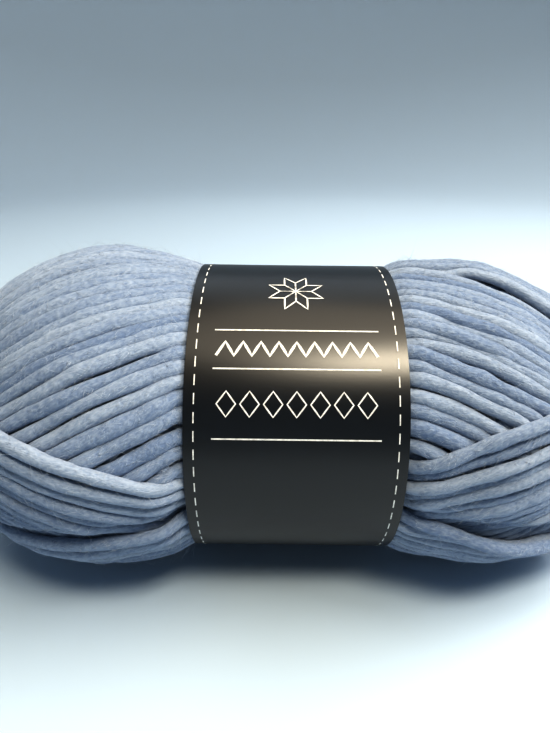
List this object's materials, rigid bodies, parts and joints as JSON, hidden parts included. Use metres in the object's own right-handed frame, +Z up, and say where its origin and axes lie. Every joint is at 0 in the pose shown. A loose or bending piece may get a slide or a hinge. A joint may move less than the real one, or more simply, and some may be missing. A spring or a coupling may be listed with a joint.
{
  "type": "skein of roving yarn with a card band",
  "caption": "Centre-pull skein of thick, soft, single-ply wool roving yarn in pale blue, lying on its side with a dark card band round its waist.",
  "frame": {"origin": "middle of the footprint, on the surface that the skein lies on", "axes": "+X along the skein's axis to its smaller lobe, -Y its front, +Z up"},
  "size_m": [0.1961, 0.1017, 0.0901],
  "materials": {
    "yarn": "soft, matt, lightly felted single-ply wool with loose fibres",
    "card": "smooth card with a satin black face"
  },
  "bodies": {
    "root": {"wound_yarn": "yarn", "paper_band": "card"}
  },
  "joints": []
}
